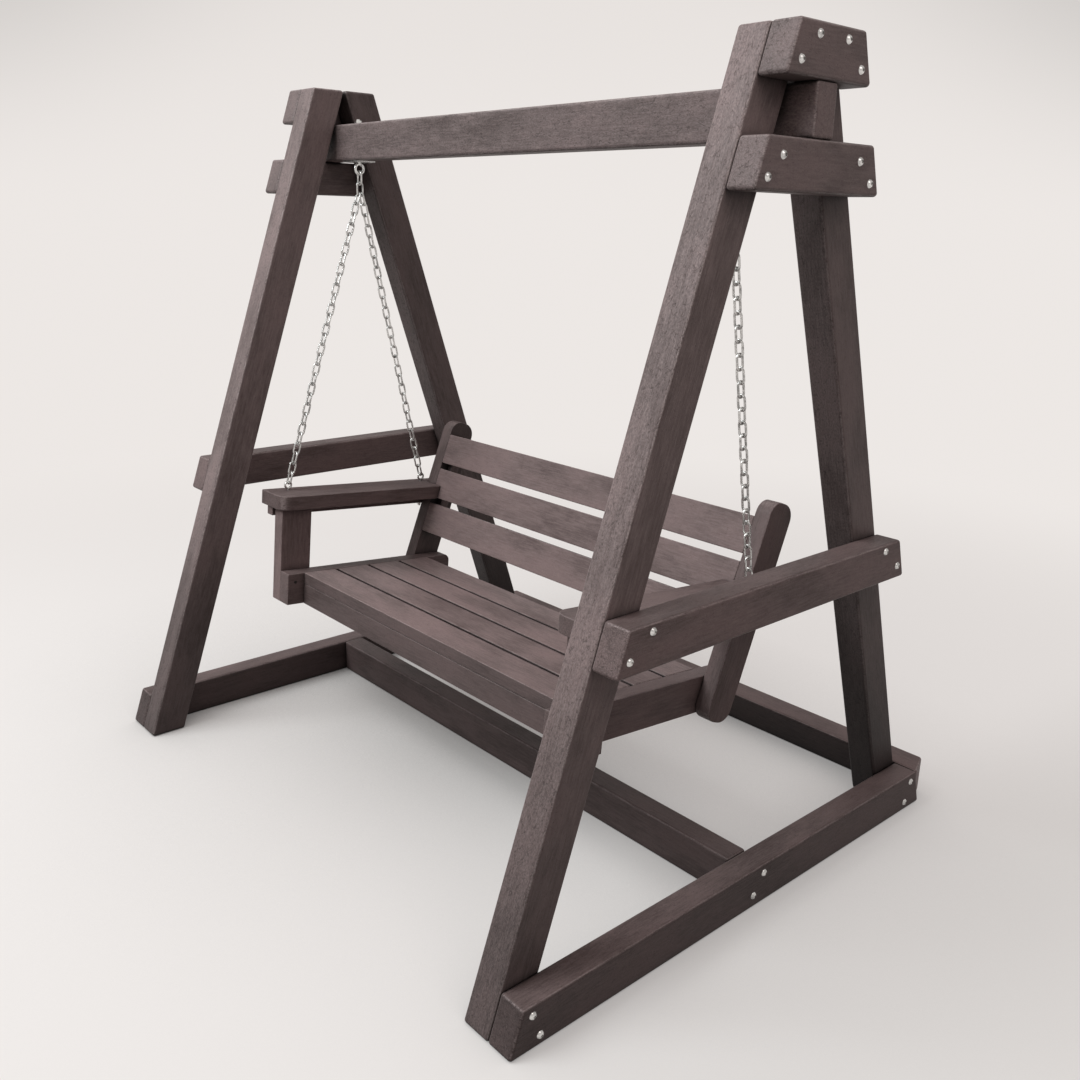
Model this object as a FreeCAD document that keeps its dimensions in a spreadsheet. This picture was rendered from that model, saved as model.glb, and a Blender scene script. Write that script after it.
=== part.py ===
import FreeCAD, Part

import math
import os
import re

import Sketcher

# Swing bench: a seat hung by chains from a beam between two A-frames.
# X runs to the right, Y to the rear and Z up. The origin lies on the floor,
# below the middle of the beam. The seat and its back are drawn in frames of
# their own, at the top of the slats and along the back, and then tipped.
# Lengths are in millimetres and angles in degrees.

Vector = FreeCAD.Vector

SIZES = {
    # Boards of the frame
    "frame_height": 1846,
    "lean_angle": 18.8,
    "board_thick": 67,
    "leg_thick": 75,
    "board_depth": 95,
    "apex_gap": 2,
    "heel_round": 40,
    "edge_round": 7.5,
    "seat_edge_round": 3,
    "mid_rail_top": 797,
    "beam_width": 65,
    "beam_depth": 100,
    "beam_end_inset": 4,
    "ground_rail_depth": 101,
    "cross_rail_shift": 14,
    "rear_rail_depth": 88,
    "rear_rail_bevel": 33,
    # Bolts through the boards and the legs: share across the leg, and height
    "upper_spreader_high_share": 0.64,
    "upper_spreader_high_drop": 22,
    "upper_spreader_low_share": 0.31,
    "upper_spreader_low_rise": 27,
    "lower_spreader_high_share": 0.56,
    "lower_spreader_high_drop": 32,
    "lower_spreader_low_share": 0.29,
    "lower_spreader_low_rise": 24,
    "mid_rail_high_share": 0.68,
    "mid_rail_high_drop": 17,
    "mid_rail_low_share": 0.25,
    "mid_rail_low_rise": 32,
    "ground_rail_high_share": 0.31,
    "ground_rail_high_drop": 22,
    "ground_rail_low_share": 0.69,
    "ground_rail_low_rise": 25,
    # Bolts in the ends of the middle cross rail and behind the rear one
    "cross_bolt_spread": 17,
    "cross_bolt_drop": 22,
    "cross_bolt_rise": 33,
    "rear_bolt_spread": 16,
    "lag_bite": 60,
    "leg_bite": 50,
    # Dome-head bolt, and the washer and nut of the eye bolts
    "bolt_size": 10,
    "bolt_head_wide": 17.5,
    "bolt_head_high": 5.5,
    "bolt_socket": 6.9,
    "bolt_socket_deep": 3,
    "washer_wide": 24,
    "washer_thick": 2,
    "nut_corners": 19.6,
    "nut_high": 8,
    "stud_end": 3,
    "fit_gap": 0.3,
    # Long screws that hold the beam between the spreaders
    "beam_screw_size": 8,
    "beam_screw_head": 14,
    "beam_screw_head_high": 5,
    "beam_screw_socket": 7.5,
    "beam_screw_socket_deep": 3.5,
    "beam_screw_share": 0.4,
    # Eye bolts under the beam
    "eye_splay": 18,
    "plate_long": 78,
    "plate_wide": 60,
    "plate_thick": 4,
    "eye_wire": 8,
    "eye_radius": 13.5,
    # Chain and hanger links
    "link_wire": 5.5,
    "link_pitch": 31.15,
    "link_play": 0.4,
    # Seat boards, from the top of the slats
    "seat_height": 455,
    "seat_offset": -4.5,
    "seat_tilt": 5,
    "seat_inner": 567,
    "side_rail_thick": 46,
    "side_rail_deep": 95,
    "side_rail_nose": 53,
    "side_rail_tail": 92,
    "side_rail_round": 22,
    "slat_front": 303,
    "slat_count": 4,
    "slat_wide": 104,
    "slat_gap": 10,
    "slat_thick": 33,
    "bearer_thick": 33,
    "centre_bearer_wide": 40,
    "cleat_size": 33,
    # Posts, arms and the cleats under them
    "post_thick": 44,
    "post_wide": 98,
    "arm_under": 188,
    "arm_thick": 42,
    "arm_inset": 15,
    "arm_overhang": 48,
    "arm_side_gap": 52,
    "arm_nose": 19,
    "arm_tail": 164,
    "arm_round": 36,
    "arm_cleat_wide": 30,
    "arm_cleat_deep": 29,
    "arm_cleat_nose": 9,
    "arm_cleat_tail": 124,
    # Back, from where the uprights' front meets the top of the slats
    "back_angle": 16.3,
    "back_overlap": 17,
    "upright_deep": 91,
    "upright_below": 102,
    "upright_crown": 49,
    "upright_round": 38,
    "back_slat_top_edge": 408,
    "back_slat_wide": 95,
    "back_slat_gap": 20,
    "back_slat_thick": 30,
    "back_cleat_thick": 20,
    "back_cleat_deep": 30,
    # Eyes in the arms
    "arm_eye_wire": 6,
    "arm_eye_size": 8,
    "arm_eye_radius": 10,
    "arm_eye_lift": 15,
    "arm_eye_inset": 49,
    "arm_eye_tail": 49,
    "small_washer_wide": 18,
    "small_washer_thick": 1.6,
    "small_nut_corners": 15,
    "small_nut_high": 6.5,
    # Screws of the seat
    "screw_size": 4.5,
    "screw_head": 9,
    "screw_head_high": 3,
    "screw_socket": 4.6,
    "screw_socket_deep": 2,
    "screw_bite": 20,
    "post_screw_share": 0.255,
    "post_screw_drop": 26,
    "post_screw_hidden_share": 0.775,
    "upright_screw_share": 0.8,
    "upright_screw_drop": 60,
    "upright_screw_hidden_share": 0.15,
    "arm_cleat_screw_share": 0.19,
    "arm_cleat_screw_next_share": 0.735,
    "arm_cleat_rear_screw_share": 0.5,
}

# Values that follow from the sizes, as the sheet's own formulas
WORKED_OUT = {
    "rail_outer": "seat_inner + side_rail_thick",
    "post_outer": "rail_outer + post_thick",
    "arm_inner": "seat_inner + arm_inset",
    "arm_outer": "post_outer + arm_overhang",
    "leg_inner": "arm_outer + arm_side_gap",
    "leg_cut": "board_depth / cos(lean_angle)",
    "foot_reach": "leg_cut + apex_gap / 2 + frame_height * tan(lean_angle)",
    "leg_outer": "leg_inner + leg_thick",
    "leg_middle": "leg_inner + leg_thick / 2",
    "frame_outer": "leg_outer + board_thick",
    "side_middle": "leg_outer + board_thick / 2",
    "upper_spreader_top": "frame_height",
    "beam_top": "frame_height - board_depth",
    "lower_spreader_top": "beam_top - beam_depth",
    "ground_rail_top": "ground_rail_depth",
    "upper_spreader_depth": "board_depth",
    "lower_spreader_depth": "board_depth",
    "mid_rail_depth": "board_depth",
    "rear_rail_back": "foot_reach - ground_rail_depth * tan(lean_angle) + rear_rail_depth",
    "bolt_dome_radius": "(bolt_head_wide ^ 2 / 4 + bolt_head_high ^ 2) / (2 * bolt_head_high)",
    "bolt_bore": "bolt_size + 2 * fit_gap",
    "beam_screw_bore": "beam_screw_size + 2 * fit_gap",
    "beam_screw_sink": "beam_screw_head + 2 * fit_gap",
    "beam_screw_bite": "beam_screw_share * beam_depth",
    "hinge_height": "lower_spreader_top - plate_thick - eye_radius - eye_wire / 2",
    "link_half": "(link_pitch + link_wire) / 2",
    "link_radius": "3 * (link_wire + link_play) / 2 + link_play",
    "slat_rear": "slat_count * (slat_wide + slat_gap) - slat_gap - slat_front",
    "side_rail_front": "slat_front + side_rail_nose",
    "side_rail_rear": "slat_rear + side_rail_tail",
    "back_start": "slat_rear - back_overlap",
    "arm_front": "side_rail_front + arm_nose",
    "arm_rear": "back_start + arm_tail",
    "arm_cleat_front": "side_rail_front + arm_cleat_nose",
    "arm_cleat_rear": "back_start + arm_cleat_tail",
    "arm_eye_front": "side_rail_front - arm_eye_inset",
    "arm_eye_rear": "back_start + arm_eye_tail",
    "upright_above": "back_slat_top_edge + upright_crown",
    "arm_top": "arm_under + arm_thick",
    "arm_cleat_under": "arm_under - arm_cleat_deep",
    "arm_cleat_outer": "post_outer + arm_cleat_wide",
    "arm_eye_across": "post_outer + arm_cleat_wide / 2",
    "eye_across": "arm_eye_across + eye_splay",
    "arm_eye_bore": "arm_eye_size + 2 * fit_gap",
    "back_behind": "back_slat_thick + back_cleat_deep",
    "screw_bore": "screw_size + 2 * fit_gap",
    "screw_sink": "screw_head + 2 * fit_gap",
}

SIDES = {"left": -1, "right": 1}
FACES = {"front": -1, "rear": 1}
SIDE_BOARDS = ("upper_spreader", "lower_spreader", "mid_rail", "ground_rail")
ARM_EYES = {"front": "-arm_eye_front", "rear": "arm_eye_rear"}
BACK_SLATS = ("top", "middle", "bottom")

# Direction, and the turn that brings a primitive's own Z to it
WAYS = {
    "+x": ((1, 0, 0), "0; 1; 0", 90),
    "-x": ((-1, 0, 0), "0; 1; 0", -90),
    "+y": ((0, 1, 0), "1; 0; 0", -90),
    "-y": ((0, -1, 0), "1; 0; 0", 90),
    "+z": ((0, 0, 1), "1; 0; 0", 0),
    "-z": ((0, 0, -1), "1; 0; 0", 180),
}

DOC = FreeCAD.newDocument("SwingBench")
SHEET = DOC.addObject("Spreadsheet::Sheet", "Sizes")
NODES = []


def fill_sheet():
    """Write each driving size into the sheet, under its name."""
    for row, (name, number) in enumerate(SIZES.items(), start=1):
        SHEET.set(f"A{row}", name)
        SHEET.set(f"B{row}", str(number))
        SHEET.setAlias(f"B{row}", name)
    DOC.recompute()


def formula(text):
    """Spell out the names in a text as cells of the sheet."""
    def spell(match):
        name = match.group()
        if name in WORKED_OUT:
            return f"({formula(WORKED_OUT[name])})"
        return f"Sizes.{name}" if name in SIZES else name
    return re.sub(r"[a-z][a-z0-9_]*", spell, text)


def size(text):
    """The value of a formula now."""
    return float(SHEET.evalExpression(formula(text)))


def placement(spot, turn_axis="1; 0; 0", angle="0"):
    """A placement formula: where the piece's own origin goes, and its turn."""
    place = "; ".join(formula(part) for part in spot)
    turn = f"create(<<rotation>>; create(<<vector>>; {turn_axis}); {formula(angle)})"
    return f"create(<<placement>>; create(<<vector>>; {place}); {turn})"


SEAT_SPOT = ("0", "seat_offset", "seat_height")
SEAT_TURN = "-seat_tilt"
BACK_SPOT = (
    "0",
    "seat_offset + back_start * cos(seat_tilt)",
    "seat_height - back_start * sin(seat_tilt)",
)
BACK_TURN = "-seat_tilt - back_angle"
FRAME = None
SEAT = (SEAT_SPOT, SEAT_TURN)
BACK = (BACK_SPOT, BACK_TURN)


def put(piece, where):
    """Place a piece in the seat's or the back's own frame."""
    if where:
        spot, angle = where
        piece.setExpression("Placement", placement(spot, angle=angle))


# Boards: sketch, pad, soft edges and drilled holes

def new_board(label, where=FRAME):
    """An empty body for one board."""
    board = DOC.addObject("PartDesign::Body", label)
    board.Label = label
    put(board, where)
    NODES.append(board)
    return board


def new_sketch(board, name, plane, offset):
    """A sketch on one of the body's own origin planes, moved along its normal."""
    sketch = board.newObject("Sketcher::SketchObject", f"{board.Name}_{name}")
    planes = [item for item in board.Origin.OriginFeatures if item.Role == plane]
    sketch.AttachmentSupport = [(planes[0], "")]
    sketch.MapMode = "FlatFace"
    sketch.setExpression("AttachmentOffset.Base.z", formula(offset))
    return sketch


def tie_point(sketch, geometry, point, spot):
    """Hold a point of the sketch at a spot given by two formulas."""
    for kind, text in zip(("DistanceX", "DistanceY"), spot):
        index = sketch.addConstraint(Sketcher.Constraint(kind, -1, 1, geometry, point, size(text)))
        sketch.setExpression(f"Constraints[{index}]", formula(text))


def outline(board, name, plane, offset, corners):
    """A closed outline through the corners."""
    sketch = new_sketch(board, name, plane, offset)
    ends = [Vector(size(across), size(up), 0) for across, up in corners]
    count = len(ends)
    for index, end in enumerate(ends):
        sketch.addGeometry(Part.LineSegment(end, ends[(index + 1) % count]), False)
    for index in range(count):
        sketch.addConstraint(Sketcher.Constraint("Coincident", index, 2, (index + 1) % count, 1))
    for index, spot in enumerate(corners):
        tie_point(sketch, index, 1, spot)
    return sketch


def box_corners(left, right, low, high):
    """The four corners of an upright rectangle."""
    return [(left, low), (right, low), (right, high), (left, high)]


def pad(board, sketch, length, both_ways=False, backwards=False):
    """Extrude a sketch along its normal."""
    feature = board.newObject("PartDesign::Pad", f"{sketch.Name}_pad")
    feature.Profile = sketch
    feature.SideType = "Symmetric" if both_ways else "One side"
    feature.Reversed = backwards
    feature.setExpression("Length", formula(length))
    return feature


def cut(board, sketch, depth=None, forwards=False):
    """Cut a sketch through the whole board, or to a depth."""
    feature = board.newObject("PartDesign::Pocket", f"{sketch.Name}_cut")
    feature.Profile = sketch
    if depth is None:
        feature.Type = "ThroughAll"
        feature.SideType = "Symmetric"
    else:
        feature.Reversed = forwards
        feature.setExpression("Length", formula(depth))
    return feature


def round_corners(board, plane, corners, radius):
    """Round the edges that stand square to a plane at the given corners."""
    DOC.recompute()
    base = board.Tip
    drop = {"XY_Plane": (0, 1), "YZ_Plane": (1, 2)}[plane]
    spots = [(size(across), size(up)) for across, up in corners]
    chosen = []
    for index, edge in enumerate(base.Shape.Edges, start=1):
        ends = [(vertex.Point[drop[0]], vertex.Point[drop[1]]) for vertex in edge.Vertexes]
        if any(all(math.dist(end, spot) < Part.Precision.confusion() for end in ends) for spot in spots):
            chosen.append(f"Edge{index}")
    feature = board.newObject("PartDesign::Fillet", f"{board.Name}_corners")
    feature.Base = (base, chosen)
    feature.setExpression("Radius", formula(radius))
    return feature


def soften(board, radius="edge_round"):
    """Round every edge of the board."""
    base = board.Tip
    feature = board.newObject("PartDesign::Fillet", f"{board.Name}_soft_edges")
    feature.Base = (base, [])
    feature.UseAllEdges = True
    feature.setExpression("Radius", formula(radius))
    return feature


def drill(board, name, plane, offset, centres, bore, depth=None, forwards=False):
    """Round holes through the board, or to a depth, square to a plane."""
    sketch = new_sketch(board, name, plane, offset)
    for centre in centres:
        middle = Vector(size(centre[0]), size(centre[1]), 0)
        circle = sketch.addGeometry(Part.Circle(middle, Vector(0, 0, 1), size(bore) / 2), False)
        tie_point(sketch, circle, 3, centre)
        index = sketch.addConstraint(Sketcher.Constraint("Diameter", circle, size(bore)))
        sketch.setExpression(f"Constraints[{index}]", formula(bore))
    return cut(board, sketch, depth, forwards)


# Turned pieces: primitives joined into one node

def primitive(kind, name, spot, way, shift, sizes):
    """A primitive whose own Z points one way, moved along it by a shift."""
    unit, turn_axis, angle = WAYS[way]
    piece = DOC.addObject(f"Part::{kind}", name)
    for key, text in sizes.items():
        piece.setExpression(key, formula(text))
    moved = [f"{part} + {step} * ({shift})" for part, step in zip(spot, unit)]
    piece.setExpression("Placement", placement(moved, turn_axis, str(angle)))
    return piece


def rod(name, spot, way, shift, wide, length):
    """A round rod."""
    sizes = {"Radius": f"({wide}) / 2", "Height": length}
    return primitive("Cylinder", name, spot, way, shift, sizes)


def union(name, pieces):
    """Several primitives as one shape."""
    joined = DOC.addObject("Part::MultiFuse", name)
    joined.Shapes = pieces
    joined.Refine = True
    return joined


def less(name, base, tool):
    """One shape without another."""
    rest = DOC.addObject("Part::Cut", name)
    rest.Base = base
    rest.Tool = tool
    return rest


def finish(label, piece, where=FRAME):
    """Name a joined piece as a node and put it in its frame."""
    piece.Label = label
    put(piece, where)
    NODES.append(piece)


def opposite(way):
    """The other way along the same axis."""
    return {"+": "-", "-": "+"}[way[0]] + way[1]


def dome_bolts(label, bolts):
    """Dome-head bolts: each has the spot under its head, the way it points and its grip."""
    solids = []
    sockets = []
    for number, (spot, way, grip) in enumerate(bolts, start=1):
        name = f"{label}_{number}"
        outward = opposite(way)
        dome = {
            "Radius": "bolt_dome_radius",
            "Angle1": "asin((bolt_dome_radius - bolt_head_high) / bolt_dome_radius)",
        }
        shift = "bolt_head_high - bolt_dome_radius"
        solids.append(primitive("Sphere", f"{name}_head", spot, outward, shift, dome))
        solids.append(rod(f"{name}_shank", spot, way, "0", "bolt_size", grip))
        socket = {"Circumradius": "bolt_socket / 2", "Height": "bolt_head_high"}
        start = "bolt_head_high - bolt_socket_deep"
        sockets.append(primitive("Prism", f"{name}_socket", spot, outward, start, socket))
    finish(label, less(label, union(f"{label}_solids", solids), union(f"{label}_sockets", sockets)))


def nuts(label, spots, washer, nut, bore, where=FRAME):
    """A washer and a nut on it at each spot, with the bolt's bore."""
    solids = []
    bores = []
    washer_wide, washer_thick = washer
    nut_corners, nut_high = nut
    for number, (spot, way) in enumerate(spots, start=1):
        name = f"{label}_{number}"
        prism = {"Circumradius": f"{nut_corners} / 2", "Height": nut_high}
        solids.append(rod(f"{name}_washer", spot, way, "0", washer_wide, washer_thick))
        solids.append(primitive("Prism", f"{name}_nut", spot, way, washer_thick, prism))
        bores.append(rod(f"{name}_bore", spot, way, "-nut_high", bore, "3 * nut_high"))
    finish(label, less(label, union(f"{label}_solids", solids), union(f"{label}_bores", bores)), where)


def screws(label, places, where, kind="screw"):
    """Flush screws: each has the spot of its head's face, the way it points and its length."""
    solids = []
    sockets = []
    socket = {"Circumradius": f"{kind}_socket / 2", "Height": f"{kind}_socket_deep"}
    for number, (spot, way, length) in enumerate(places, start=1):
        name = f"{label}_{number}"
        solids.append(rod(f"{name}_head", spot, way, "0", f"{kind}_head", f"{kind}_head_high"))
        solids.append(rod(f"{name}_shank", spot, way, "0", f"{kind}_size", length))
        sockets.append(primitive("Prism", f"{name}_socket", spot, way, "0", socket))
    finish(label, less(label, union(f"{label}_solids", solids), union(f"{label}_sockets", sockets)), where)


# Places that boards and fasteners share

def reach(height):
    """How far the legs' outer faces stand from the middle at a height."""
    return f"(foot_reach - ({height}) * tan(lean_angle))"


def board_bolts(board, face):
    """The two bolts of a side board in the front or the rear leg, as Y and Z."""
    heights = {
        "high": f"{board}_top - {board}_high_drop",
        "low": f"{board}_top - {board}_depth + {board}_low_rise",
    }
    return [
        (f"{FACES[face]} * ({reach(height)} - {board}_{end}_share * leg_cut)", height)
        for end, height in heights.items()
    ]


def both_legs_bolts(board):
    """The four bolts of a side board."""
    return board_bolts(board, "front") + board_bolts(board, "rear")


def cross_rail_bolt_places():
    """The bolts in each end of the middle cross rail, as Y and Z."""
    return [
        ("cross_rail_shift + cross_bolt_spread", "ground_rail_depth - cross_bolt_drop"),
        ("cross_rail_shift - cross_bolt_spread", "cross_bolt_rise"),
    ]


def rear_rail_bolt_places():
    """The bolts through the rear cross rail into the legs, as X and Z."""
    return [
        (f"{side} * (leg_middle + {step} * rear_bolt_spread)", "ground_rail_depth / 2")
        for side in SIDES.values()
        for step in (-1, 1)
    ]


# Frame

def leg(face, side):
    """A sloping leg with level ends."""
    board = new_board(f"leg_{face}_{side}")
    sign = FACES[face]
    foot = reach("0")
    top = reach("frame_height")
    corners = [
        (f"{sign} * {foot}", "0"),
        (f"{sign} * ({foot} - leg_cut)", "0"),
        (f"{sign} * ({top} - leg_cut)", "frame_height"),
        (f"{sign} * {top}", "frame_height"),
    ]
    sketch = outline(board, "outline", "YZ_Plane", f"{SIDES[side]} * leg_inner", corners)
    pad(board, sketch, "leg_thick", backwards=SIDES[side] < 0)
    if face == "rear":
        round_corners(board, "YZ_Plane", [corners[1]], "heel_round")
    soften(board)
    holes = [place for name in SIDE_BOARDS for place in board_bolts(name, face)]
    outer = f"{SIDES[side]} * leg_outer"
    depth = "leg_bite + fit_gap"
    drill(board, "bolt_holes", "YZ_Plane", outer, holes, "bolt_bore", depth, SIDES[side] < 0)
    if face == "rear":
        centres = [place for place in rear_rail_bolt_places() if size(place[0]) * SIDES[side] > 0]
        depth = "rear_rail_depth + lag_bite + fit_gap"
        drill(board, "lag_holes", "XZ_Plane", "-rear_rail_back", centres, "bolt_bore", depth, forwards=True)


def side_board(name, side):
    """A board outside the legs, its ends cut to their slope."""
    board = new_board(f"{name}_{side}")
    top = f"{name}_top"
    low = f"{name}_top - {name}_depth"
    corners = [
        (f"-{reach(low)}", low),
        (reach(low), low),
        (reach(top), top),
        (f"-{reach(top)}", top),
    ]
    sketch = outline(board, "outline", "YZ_Plane", f"{SIDES[side]} * leg_outer", corners)
    pad(board, sketch, "board_thick", backwards=SIDES[side] < 0)
    soften(board)
    holes = both_legs_bolts(name)
    if name == "ground_rail":
        holes += cross_rail_bolt_places()
    drill(board, "bolt_holes", "YZ_Plane", "0", holes, "bolt_bore")
    centre = [(f"{SIDES[side]} * side_middle", "0")]
    if name == "upper_spreader":
        drill(board, "screw_hole", "XY_Plane", "0", centre, "beam_screw_bore")
        drill(board, "screw_sink", "XY_Plane", top, centre, "beam_screw_sink", "beam_screw_head_high")
    if name == "lower_spreader":
        drill(board, "screw_hole", "XY_Plane", "0", centre, "beam_screw_bore")
        drill(board, "screw_sink", "XY_Plane", low, centre, "beam_screw_sink", "beam_screw_head_high", True)


def top_beam():
    """The beam, which lies on the lower spreaders and under the upper ones."""
    board = new_board("top_beam")
    corners = box_corners("-beam_width / 2", "beam_width / 2", "beam_top - beam_depth", "beam_top")
    sketch = outline(board, "outline", "YZ_Plane", "0", corners)
    pad(board, sketch, "2 * (frame_outer - beam_end_inset)", both_ways=True)
    soften(board)
    eyes = [(f"{side} * eye_across", "0") for side in SIDES.values()]
    ends = [(f"{side} * side_middle", "0") for side in SIDES.values()]
    depth = "beam_screw_bite + fit_gap"
    drill(board, "eye_holes", "XY_Plane", "0", eyes, "bolt_bore")
    drill(board, "top_screw_holes", "XY_Plane", "beam_top", ends, "beam_screw_bore", depth)
    drill(board, "low_screw_holes", "XY_Plane", "lower_spreader_top", ends, "beam_screw_bore", depth, True)


def cross_rail_middle():
    """The cross rail between the ground rails."""
    board = new_board("cross_rail_middle")
    front = "cross_rail_shift - board_thick / 2"
    rear = "cross_rail_shift + board_thick / 2"
    corners = box_corners(front, rear, "0", "ground_rail_depth")
    sketch = outline(board, "outline", "YZ_Plane", "0", corners)
    pad(board, sketch, "2 * leg_outer", both_ways=True)
    soften(board)
    for side, sign in SIDES.items():
        drill(
            board, f"end_holes_{side}", "YZ_Plane", f"{sign} * leg_outer",
            cross_rail_bolt_places(), "bolt_bore", "lag_bite + fit_gap", sign < 0,
        )


def cross_rail_rear():
    """The cross rail against the rear legs' sloping faces, its ends bevelled."""
    board = new_board("cross_rail_rear")
    corners = [
        (reach("0"), "0"),
        ("rear_rail_back", "0"),
        ("rear_rail_back", "ground_rail_depth"),
        (reach("ground_rail_depth"), "ground_rail_depth"),
    ]
    sketch = outline(board, "outline", "YZ_Plane", "0", corners)
    pad(board, sketch, "2 * frame_outer", both_ways=True)
    for side, sign in SIDES.items():
        bevel = [
            (f"{sign} * frame_outer", reach("ground_rail_depth")),
            (f"{sign} * (frame_outer + rear_rail_bevel)", reach("ground_rail_depth")),
            (f"{sign} * (frame_outer + rear_rail_bevel)", "rear_rail_back + rear_rail_bevel"),
            (f"{sign} * (frame_outer - rear_rail_bevel)", "rear_rail_back + rear_rail_bevel"),
            (f"{sign} * (frame_outer - rear_rail_bevel)", "rear_rail_back"),
        ]
        cut(board, outline(board, f"bevel_{side}", "XY_Plane", "0", bevel))
    soften(board)
    drill(board, "bolt_holes", "XZ_Plane", "0", rear_rail_bolt_places(), "bolt_bore")


def frame_fasteners():
    """Bolts and screws of the frame."""
    for name in SIDE_BOARDS:
        bolts = [
            ((f"{sign} * frame_outer", *spot), way, "board_thick + leg_bite")
            for sign, way in ((-1, "+x"), (1, "-x"))
            for spot in both_legs_bolts(name)
        ]
        dome_bolts(f"{name}_bolts", bolts)
    lags = [
        ((f"{sign} * frame_outer", *spot), way, "board_thick + lag_bite")
        for sign, way in ((-1, "+x"), (1, "-x"))
        for spot in cross_rail_bolt_places()
    ]
    for across, height in rear_rail_bolt_places():
        lags.append(((across, "rear_rail_back", height), "-y", "rear_rail_depth + lag_bite"))
    dome_bolts("cross_rail_bolts", lags)
    long_screws = []
    for sign in SIDES.values():
        across = f"{sign} * side_middle"
        length = "board_depth + beam_screw_bite"
        long_screws.append(((across, "0", "frame_height"), "-z", length))
        long_screws.append(((across, "0", "lower_spreader_top - board_depth"), "+z", length))
    screws("beam_screws", long_screws, FRAME, kind="beam_screw")


def beam_eyes():
    """The eye bolts through the beam, the plate under it and the nut on top."""
    solids = []
    plates = []
    bores = []
    tops = []
    for side, sign in SIDES.items():
        across = f"{sign} * eye_across"
        centre = (across, "0", "hinge_height")
        ring = {"Radius1": "eye_radius", "Radius2": "eye_wire / 2"}
        solids.append(primitive("Torus", f"eye_ring_{side}", centre, "+x", "0", ring))
        length = "plate_thick + beam_depth + eye_wire / 2 + washer_thick + nut_high + stud_end"
        solids.append(rod(f"eye_shank_{side}", centre, "+z", "eye_radius", "bolt_size", length))
        plate = {"Length": "plate_long", "Width": "plate_wide", "Height": "plate_thick"}
        corner = (f"{across} - plate_long / 2", "-plate_wide / 2", "lower_spreader_top - plate_thick")
        plates.append(primitive("Box", f"eye_plate_{side}", corner, "+z", "0", plate))
        bores.append(rod(f"eye_plate_bore_{side}", centre, "+z", "0", "bolt_bore", "2 * eye_radius"))
        tops.append(((across, "0", "beam_top"), "+z"))
    finish("eye_bolts", union("eye_bolts", solids))
    whole = union("eye_plate_solids", plates)
    finish("eye_plates", less("eye_plates", whole, union("eye_plate_bores", bores)))
    nuts("eye_nuts", tops, ("washer_wide", "washer_thick"), ("nut_corners", "nut_high"), "bolt_bore")


# Chains

def oval_link():
    """One chain link, long way up, in the XZ plane and centred on the origin."""
    wire = size("link_wire") / 2
    bow = size("link_radius")
    straight = size("link_pitch + link_wire - 2 * link_radius")
    pieces = []
    for sign in (-1, 1):
        half = Part.makeTorus(bow, wire, Vector(0, 0, 0), Vector(0, 0, 1), 0, 360, 180)
        turn = FreeCAD.Rotation(Vector(1, 0, 0), 90 * sign)
        half.Placement = FreeCAD.Placement(Vector(0, 0, sign * straight / 2), turn)
        pieces.append(half)
        side = Part.makeCylinder(wire, straight, Vector(sign * bow, 0, -straight / 2))
        pieces.append(side)
    return pieces[0].multiFuse(pieces[1:]).removeSplitter()


def link_at(link, spot, quarter_turn):
    """A copy of the link at a spot, turned by a quarter or not."""
    copy = link.copy()
    turn = FreeCAD.Rotation(Vector(0, 0, 1), 90 if quarter_turn else 0)
    copy.Placement = FreeCAD.Placement(spot, turn)
    return copy


def link_feature(label, links, place):
    """A node made of links."""
    feature = DOC.addObject("Part::Feature", label)
    feature.Label = label
    feature.Shape = Part.makeCompound(links)
    feature.Placement = place
    NODES.append(feature)


def hanger_links(link):
    """Two links below each beam eye: the upper one across, the lower one along the seat's depth."""
    links = []
    upper = -size("eye_radius - eye_wire / 2 - link_wire / 2 - link_play + link_half")
    lower = upper - size("link_pitch - link_play")
    for sign in SIDES.values():
        across = sign * size("eye_across")
        links.append(link_at(link, Vector(across, 0, upper), False))
        links.append(link_at(link, Vector(across, 0, lower), True))
    place = FreeCAD.Placement(Vector(0, 0, size("hinge_height")), FreeCAD.Rotation())
    link_feature("hanger_links", links, place)


def chain_hook(side, face):
    """Where the wire of a chain's first link lies in the hanger's lower bow."""
    beside = size("(link_wire + link_play) / 2")
    free = size("link_radius - link_wire - link_play")
    below = math.sqrt(free ** 2 - beside ** 2)
    eye = size("hinge_height - eye_radius + eye_wire / 2")
    bow = eye + size("link_wire / 2 - 2 * link_half - link_pitch + 2 * link_play + link_radius")
    return Vector(SIDES[side] * size("eye_across"), FACES[face] * beside, bow - below)


def chain_eye(side, face):
    """The centre of the arm's ring that a chain ends in."""
    turn = FreeCAD.Rotation(Vector(1, 0, 0), size(SEAT_TURN))
    seat = FreeCAD.Placement(Vector(*(size(part) for part in SEAT_SPOT)), turn)
    across = SIDES[side] * size("arm_eye_across")
    return seat.multVec(Vector(across, size(ARM_EYES[face]), size("arm_top + arm_eye_lift")))


def chain(link, side, face):
    """A tight chain from the hanger to the arm, its links turned in turn."""
    hook = chain_hook(side, face)
    run = chain_eye(side, face) - hook
    length = run.Length - size("arm_eye_radius - arm_eye_wire / 2 - link_wire / 2 - link_play")
    spread = length - size("2 * link_half")
    pairs = math.ceil(spread / size("link_pitch - link_play") / 2)
    spacing = spread / (2 * pairs)
    links = []
    for index in range(2 * pairs + 1):
        drop = size("link_half") + index * spacing
        links.append(link_at(link, Vector(0, 0, -drop), index % 2 == 1))
    place = FreeCAD.Placement(hook, FreeCAD.Rotation(Vector(0, 0, -1), run))
    link_feature(f"chain_{face}_{side}", links, place)


# Seat

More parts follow.
